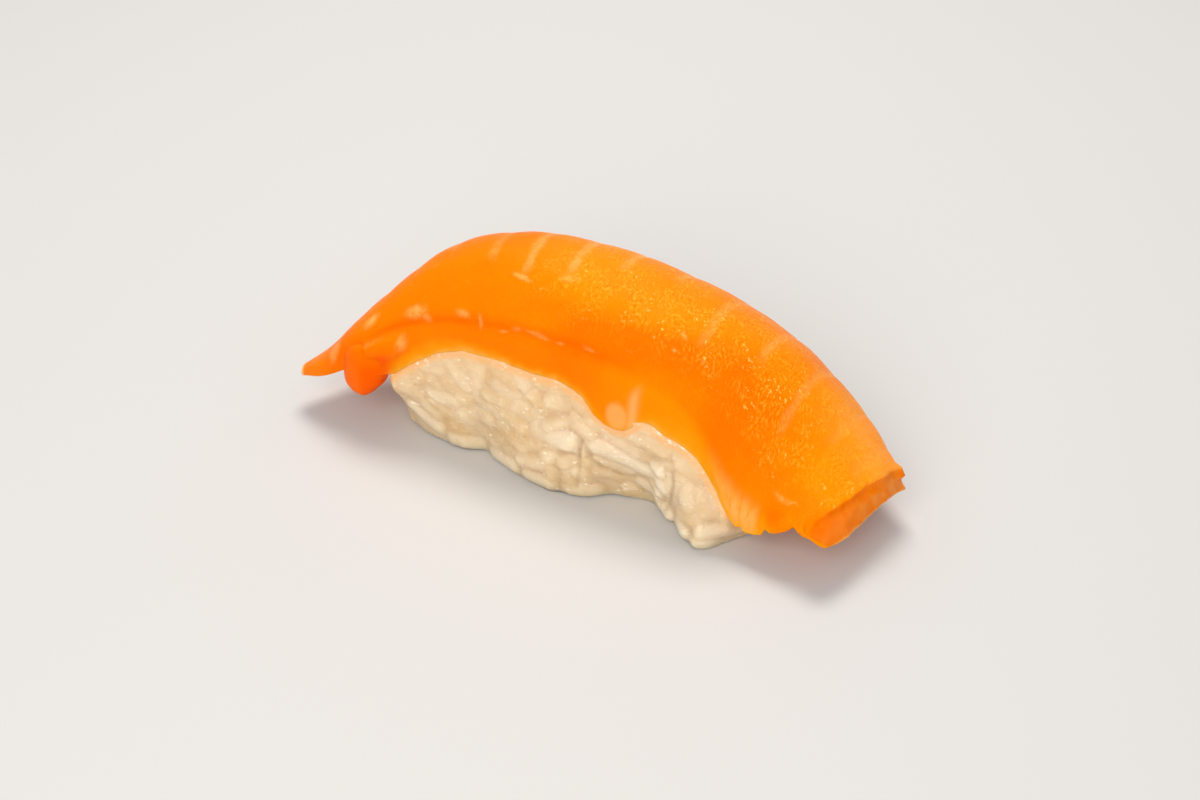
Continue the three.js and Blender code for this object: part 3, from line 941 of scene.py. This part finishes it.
def block_skin(point):
    """Signed distance outside the block's skin, and the outward direction."""
    here = block_gauge(point)
    step = 0.05
    slope = np.stack([(block_gauge(point + offset) - here) / step for offset in np.eye(3) * step], axis=1)
    steepness = np.maximum(lengths(slope), 1e-6)
    return (here - 1) / steepness, slope / steepness[:, None]


def rim_over(points, side, flap=True):
    """Y and Z of the slice's lower rim at the X of each point, at the front (-1) or the back (1)."""
    along = np.linspace(0, 1, 400)
    arc = np.interp(along, ARC_TABLE, ARC_LENGTH)
    across = np.full_like(along, side)
    _, rim = rim_raised(slice_top(along, across), slice_underside(along, across), arc, across)
    if not flap:
        rim = rim[(arc < FLAP_ARCS[0]) | (arc > FLAP_ARCS[1])]
    return [np.interp(points[:, 0], rim[:, 0], rim[:, axis]) for axis in (1, 2)]


def front_wall(points):
    """Y of the pressed front at each point, from foot to rim, and how far it counts there."""
    x, y, z = points.T
    rim_y, rim_z = rim_over(points, -1, flap=False)
    share = np.clip(z / rim_z, 0, 1)
    foot_y = sum(read_off(FRONT_FOOT, x + shift) for shift in (-0.45, 0, 0.45)) / 3
    wall = foot_y + (rim_y - RIM_LAP - foot_y) * ease(0.1, 0.95, share)
    wall -= FRONT_BULGE * np.sin(math.pi * share) * ease(-33, -25, x)
    at_front = ease(-5, -9, y) * within(x, -33.6, -29.6, 18.5, 21.5)
    return wall, at_front * ease(2.4, 0.6, z - rim_z)


def segment_distance(points, start, run):
    """Distance from each point to each segment, and the share of its run at which it is nearest."""
    share = np.clip(((points[:, None] - start) * run).sum(2) / (run**2).sum(1), 0, 1)
    return lengths(points[:, None] - start - run * share[..., None]), share


def flat_distance(places, tips, width):
    """The same over the front, to the middle line of each grain or crevice between its round ends."""
    one, two = tips[:, 0:2], tips[:, 2:4]
    run = two - one
    inset = (width / 2 / lengths(run))[:, None]
    return segment_distance(places, one + run * inset, run * (1 - 2 * inset))


def spaced(candidates, spacing, most=None):
    """The candidates that are far enough from those kept before them."""
    kept = []
    for point in candidates:
        if kept and lengths(np.array(kept) - point).min() < spacing:
            continue
        kept.append(point)
        if len(kept) == most:
            break
    return kept


def front_grains():
    """The seen grains, and seeded ones between them that barely show."""
    random = np.random.default_rng(SEED + 3)
    seen = np.array(SEEN_GRAINS)
    middles = random.uniform((-35, 0.5), (21, 15.5), (3000, 2))
    from_seen = flat_distance(middles, seen, seen[:, 4])[0].min(axis=1)
    others = []
    for middle in spaced(middles[from_seen >= SEEN_GRAIN_SPACING], OTHER_GRAIN_SPACING):
        turn = math.radians(random.normal(-15, 35))
        reach = random.uniform(2.8, 3.8) * np.array([math.cos(turn), math.sin(turn)])
        rises = random.uniform(*OTHER_GRAIN_RISE, 2)
        width, whiteness = random.uniform(2.7, 3.4), random.uniform(0, 0.7)
        others.append([*(middle - reach), *(middle + reach), width, *rises, whiteness])
    return np.vstack([seen, others])


def grain_rise(points, grains):
    """How far the grains stand out at each point of the front, the outermost one, and how much painted
    crevice shade it gets.
    """
    places = points[:, [0, 2]]
    apart, share = flat_distance(places, grains, grains[:, 4])
    rise = grains[:, 5] + (grains[:, 6] - grains[:, 5]) * share
    round_part = np.maximum(1 - (apart / (grains[:, 4] / 2)) ** 2, 0) ** 0.6
    height = (rise + PRESSED_MASS_DEPTH) * round_part - PRESSED_MASS_DEPTH
    together = np.exp(GRAIN_MEETING * height).sum(axis=1)
    total = np.log(together + math.exp(-GRAIN_MEETING * PRESSED_MASS_DEPTH)) / GRAIN_MEETING
    next_out, outermost = np.sort(height, axis=1)[:, -2:].T
    seam = ease(0.13, 0.0, outermost - np.maximum(next_out, -PRESSED_MASS_DEPTH))
    crevices = np.array(CREVICES)
    from_crevice, _ = flat_distance(places, crevices, CREVICE_TIP)
    cut = (crevices[:, 4] * bell(from_crevice, 0, CREVICE_WIDTH)).max(axis=1)
    smoother = 1 - 0.25 * ease(-8, -14, points[:, 0])
    return total * smoother - cut, height.argmax(axis=1), np.maximum(0.15 * seam * smoother, cut)


def behind_slice(points):
    """Holds the rice back behind the slice's front face."""
    rim_y, rim_z = rim_over(points, -1, flap=False)
    above = points[:, 2] - rim_z
    face = rim_y - RIM_LAP + RIM_SLOPE * above
    points[:, 1] = np.where(above > 0, np.maximum(points[:, 1], face), points[:, 1])
    return points


def underside_cell(point):
    """Row and column of the half-millimetre cell that a point is over."""
    cell = np.stack([(point[:, 0] + 60) * 2, (point[:, 1] + 25) * 2], axis=1).astype(int)
    return tuple(np.clip(cell, 0, (239, 99)).T)


def underside_map():
    """Height of the slice's underside over each cell, infinite where there is none."""
    along, across = np.meshgrid(np.linspace(0, 1, 700), np.linspace(-1, 1, 240), indexing="ij")
    point = slice_underside(along.ravel(), across.ravel())
    heights = np.full((240, 100), np.inf)
    np.minimum.at(heights, underside_cell(point), point[:, 2])
    return heights


def segment_pairs(start, end, one, two):
    """Nearest places, as shares along two sets of segments."""
    run_one, run_two = end[one] - start[one], end[two] - start[two]
    apart = start[one] - start[two]
    aa, bb, ab = (run_one**2).sum(1), (run_two**2).sum(1), (run_one * run_two).sum(1)
    ca, cb = (run_one * apart).sum(1), (run_two * apart).sum(1)
    spread = np.maximum(aa * bb - ab * ab, 1e-6)
    share_one = np.clip((ab * cb - bb * ca) / spread, 0, 1)
    share_two = np.clip((ab * share_one + cb) / bb, 0, 1)
    share_one = np.clip((ab * share_two - ca) / aa, 0, 1)
    return share_one, share_two


def first_places(random):
    """Seeded draws over the block's skin, and the depth under it that each belongs at."""
    kept = []
    depths = []
    for depth, spacing, most in LAYERS:
        candidates = random.uniform((-38, -17, 0), (24, 13, 24), (40000, 3))
        distance, _ = block_skin(candidates)
        here = spaced(candidates[np.abs(distance + depth) < 0.6], spacing, most)
        kept += here
        depths += [depth] * len(here)
    return np.array(kept), np.array(depths)


def settled_grains():
    """Start, end, length and width of each grain, after the grains have pushed each other apart."""
    random = np.random.default_rng(SEED)
    centre, depth = first_places(random)
    count = len(centre)
    _, outward = block_skin(centre)
    heading = random.normal(size=(count, 3))
    heading -= outward * (heading * outward).sum(1)[:, None] * 0.85
    heading = unit(heading)
    length = GRAIN_LENGTH * (1 + GRAIN_SPREAD * random.uniform(-1, 1, count))
    width = GRAIN_WIDTH * (1 + GRAIN_SPREAD * random.uniform(-1, 1, count))
    reach = ((length - width) / 2)[:, None]
    start, end = centre - heading * reach, centre + heading * reach
    heights = underside_map()
    first, second = np.triu_indices(count, 1)
    for _ in range(SETTLE_ROUNDS):
        middle = (start + end) / 2
        near = lengths(middle[first] - middle[second]) < GRAIN_LENGTH * 1.3
        one, two = first[near], second[near]
        share_one, share_two = segment_pairs(start, end, one, two)
        contact_one = start[one] + (end[one] - start[one]) * share_one[:, None]
        contact_two = start[two] + (end[two] - start[two]) * share_two[:, None]
        gap = contact_one - contact_two
        overlap = SQUEEZE * (width[one] + width[two]) / 2 - lengths(gap)
        push = unit(gap) * (np.maximum(overlap, 0) * 0.3)[:, None]
        for grain, share, sign in ((one, share_one, 1), (two, share_two, -1)):
            for axis in range(3):
                start[:, axis] += sign * np.bincount(grain, push[:, axis] * (1 - share), count)
                end[:, axis] += sign * np.bincount(grain, push[:, axis] * share, count)
        for tip in (start, end):
            distance, outward = block_skin(tip)
            wanted = np.clip(distance, -depth - 0.5, -depth + 0.35)
            tip += outward * (wanted - distance)[:, None] * 0.5
            roof = heights[underside_cell(tip)] + FISH_BITE - width / 2
            tip[:, 2] = np.minimum(tip[:, 2], roof)
            tip[:, 2] = np.maximum(tip[:, 2], width / 2 - 0.35)
        middle = (start + end) / 2
        heading = unit(end - start)
        start, end = middle - heading * reach, middle + heading * reach
    return start, end, length, width


def grain_forms(start, end, length, width):
    """Points and quads of all grains: blunt, a little flat, bent and narrower at one end."""
    share, quads = box_grid((GRAIN_GRID[0], GRAIN_GRID[1] // 2, GRAIN_GRID[1] // 2))
    ball = unit(2 * share - 1)
    random = np.random.default_rng(SEED + 1)
    forms = []
    for grain in range(len(start)):
        run = unit(end[grain] - start[grain])
        side = unit(np.cross(run, random.normal(size=3)))
        rise = np.cross(run, side)
        girth = np.sqrt(np.maximum(1 - ball[:, 0] ** 2, 1e-9))
        blunt = girth ** -0.35 * (1 - random.uniform(0.02, 0.12) * ball[:, 0])
        bend = random.uniform(-0.12, 0.12) * (ball[:, 0] ** 2 - 0.4)
        across = ball[:, 1] * blunt * width[grain] / 2
        through = (ball[:, 2] * blunt * GRAIN_FLATNESS + bend) * width[grain] / 2
        along = ball[:, 0] * length[grain] / 2
        middle = (start[grain] + end[grain]) / 2
        forms.append(middle + along[:, None] * run + across[:, None] * side + through[:, None] * rise)
    every = np.concatenate(forms)
    offsets = np.arange(len(start))[:, None, None] * len(ball)
    return every, (quads[None] + offsets).reshape(-1, 4)


def core_form():
    """The block a little under its skin, held clear of the slice and the surface it stands on."""
    share, quads = box_grid((60, 24, 24))
    direction = unit(2 * share - 1)
    scale = np.array([RICE_HALF_LENGTH, RICE_HALF_WIDTH, RICE_FOOT_DEPTH])
    point = direction * scale + np.array([RICE_MIDDLE, 0, RICE_WAIST])
    for _ in range(12):
        distance, outward = block_skin(point)
        point -= outward * (distance + CORE_INSET)[:, None] * 0.7
    point[:, 2] = np.minimum(point[:, 2], underside_map()[underside_cell(point)] - 0.3)
    point[:, 2] = np.maximum(point[:, 2], 0.4)
    return point, quads


def largest_shell(points, faces):
    """Drops the closed hollows between grains, and keeps the one outer surface."""
    label = np.arange(len(points))
    while True:
        lowest = label[faces].min(axis=1)
        new = label.copy()
        for corner in range(faces.shape[1]):
            np.minimum.at(new, faces[:, corner], lowest)
        new = new[new]
        if np.array_equal(new, label):
            break
        label = new
    kept = label == np.bincount(label).argmax()
    index = np.cumsum(kept) - 1
    return points[kept], index[faces[kept[faces[:, 0]]]]


def softened(points, edges, amount, rounds):
    """Each point moves by its amount towards the mean of its neighbours."""
    count = np.bincount(edges.ravel(), minlength=len(points))
    for _ in range(rounds):
        total = np.zeros_like(points)
        for here, there in (edges.T, edges.T[::-1]):
            for axis in range(points.shape[1]):
                total[:, axis] += np.bincount(here, points[there, axis], len(points))
        points = points + (total / count[:, None] - points) * np.reshape(amount, (-1, 1))
    return points


def fused_heap(grains):
    """Points and quads of one shell round the grains and the core."""
    grain_points, grain_quads = grain_forms(*grains)
    core_points, core_quads = core_form()
    points = np.concatenate([grain_points, core_points])
    quads = np.concatenate([grain_quads, core_quads + len(grain_points)])
    heap = make_mesh("heap", points, quads, {})
    fuse = heap.modifiers.new("fuse", "REMESH")
    fuse.mode = "VOXEL"
    fuse.voxel_size = VOXEL * MM
    fused = applied(heap)
    bpy.data.objects.remove(heap)
    return largest_shell(mesh_points(fused), rows_of(fused.polygons, "vertices", 4))


def rice_piece():
    """The heap of grains with half of its relief pressed away, and a front that is laid out from listed
    grains.
    """
    start, end, length, width = settled_grains()
    points, faces = fused_heap((start, end, length, width))
    edges = np.concatenate([faces[:, [a, (a + 1) % 4]] for a in range(4)])
    points = softened(points, edges, 0.5, HEAP_SOFTENING)
    mass = softened(points, edges, 0.5, MASS_SOFTENING)
    rim_above = np.where(mass[:, 1] < 0, rim_over(mass, -1)[1], rim_over(mass, 1)[1]) - mass[:, 2]
    outward = point_normals(mass, faces)
    # Painted shade in the hollows between grains, by how far they lie under the softened mass.
    crevice = ease(0.1, 0.9, ((mass - points) * outward).sum(axis=1)) * math.sqrt(PRESSED_RELIEF)
    tints = np.random.default_rng(SEED + 2).uniform(0, 0.7, len(start))
    outside = in_chunks(lambda some: segment_distance(some, start, end - start)[0] - width / 2, points)
    tint = tints[outside.argmin(axis=1)]

    wall, at_front = front_wall(mass)
    front = np.flatnonzero(at_front > 0)
    grains = front_grains()
    rise, outermost, beside = grain_rise(mass[front], grains)
    share = at_front[front]
    crevice[front] += (beside - crevice[front]) * share
    # Painted highlight on the crests of the front grains.
    crest = np.zeros(len(points))
    crest[front] = ease(0.05, 0.6, rise) * share
    tint[front] += (grains[outermost, 7] - tint[front]) * share
    rise *= 1 - 0.85 * ease(3, 0.3, rim_above[front])
    points = mass + (points - mass) * (PRESSED_RELIEF * (1 - at_front))[:, None]
    points[front, 1] += (wall[front] - rise - mass[front, 1]) * share
    points = softened(points, edges, 0.4 * at_front, 2)
    points += outward * 0.06 * smooth_noise(points, 1.3, 8)[:, None]
    points = behind_slice(points)
    points[:, 2] = np.maximum(points[:, 2], 0)
    attributes = {
        "tint": softened(tint[:, None], edges, 0.5, 6)[:, 0],
        "crevice": crevice,
        "crest": softened(crest[:, None], edges, 0.5, 2)[:, 0],
        # Painted glow of light from the salmon, near its rim.
        "peach": 0.7 * ease(1.1, 0.1, rim_above) + 0.15 * ease(6, 0.5, rim_above),
        "clear": ease(0.2, 1.6, rim_above),
        # Painted shade towards the foot.
        "low": ease(9, 0, points[:, 2]),
    }
    return make_mesh("rice_heap", points, faces, attributes)


# ---- the stage ----

def add_floor():
    bpy.ops.mesh.primitive_plane_add(size=4, location=(0, 0, cad_bounds[0][2]))
    floor = bpy.context.object
    floor.name = "floor"
    plain = Graph("floor").finish(Base_Color=srgb(206, 204, 200), Roughness=0.6, Specular_IOR_Level=0.2)
    floor.data.materials.append(plain)


def add_light(name, place, size, energy, colour):
    data = bpy.data.lights.new(name, "AREA")
    data.shape = "SQUARE"
    data.size = size
    data.energy = energy
    data.color = colour
    light = bpy.data.objects.new(name, data)
    light.location = place
    light.rotation_euler = (-Vector(place)).to_track_quat("-Z", "Y").to_euler()
    bpy.context.scene.collection.objects.link(light)


def add_world(strength):
    world = bpy.data.worlds.new("studio")
    world.use_nodes = True
    background = world.node_tree.nodes["Background"]
    background.inputs["Color"].default_value = (0.94, 0.95, 1.0, 1.0)
    background.inputs["Strength"].default_value = strength
    bpy.context.scene.world = world


CAMERA_TURN = 31  # degrees to the right of the piece's front
CAMERA_RISE = 35  # degrees above it
CAMERA_DISTANCE = 250
CAMERA_TARGET = (0, -12, 15)
LENS = 60


def add_camera():
    turn, rise = math.radians(CAMERA_TURN), math.radians(CAMERA_RISE)
    away = Vector((math.sin(turn) * math.cos(rise), -math.cos(turn) * math.cos(rise), math.sin(rise)))
    target = Vector(np.array(CAMERA_TARGET) + tail_shift) * MM
    data = bpy.data.cameras.new("camera")
    data.lens = LENS
    data.clip_start = 0.01
    camera = bpy.data.objects.new("camera", data)
    camera.location = target + away * CAMERA_DISTANCE * MM
    camera.rotation_euler = away.to_track_quat("Z", "Y").to_euler()
    bpy.context.scene.collection.objects.link(camera)
    bpy.context.scene.camera = camera


# ---- putting it together ----

salmon = salmon_piece()
salmon.data.materials.clear()
salmon.data.materials.append(salmon_material())
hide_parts("salmon")
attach(salmon, "root")

rice = rice_piece()
rice.data.materials.append(rice_material())
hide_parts("rice")
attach(rice, "root")

add_floor()
add_world(0.5)
add_light("key", (-0.1, 0.17, 0.47), 0.22, 1.7, (1.0, 0.97, 0.93))
add_light("fill", (0.1, -0.45, 0.3), 0.4, 2.0, (1.0, 0.98, 0.96))
add_camera()

scene = bpy.context.scene
scene.view_settings.view_transform = "Standard"
scene.cycles.use_denoising = True
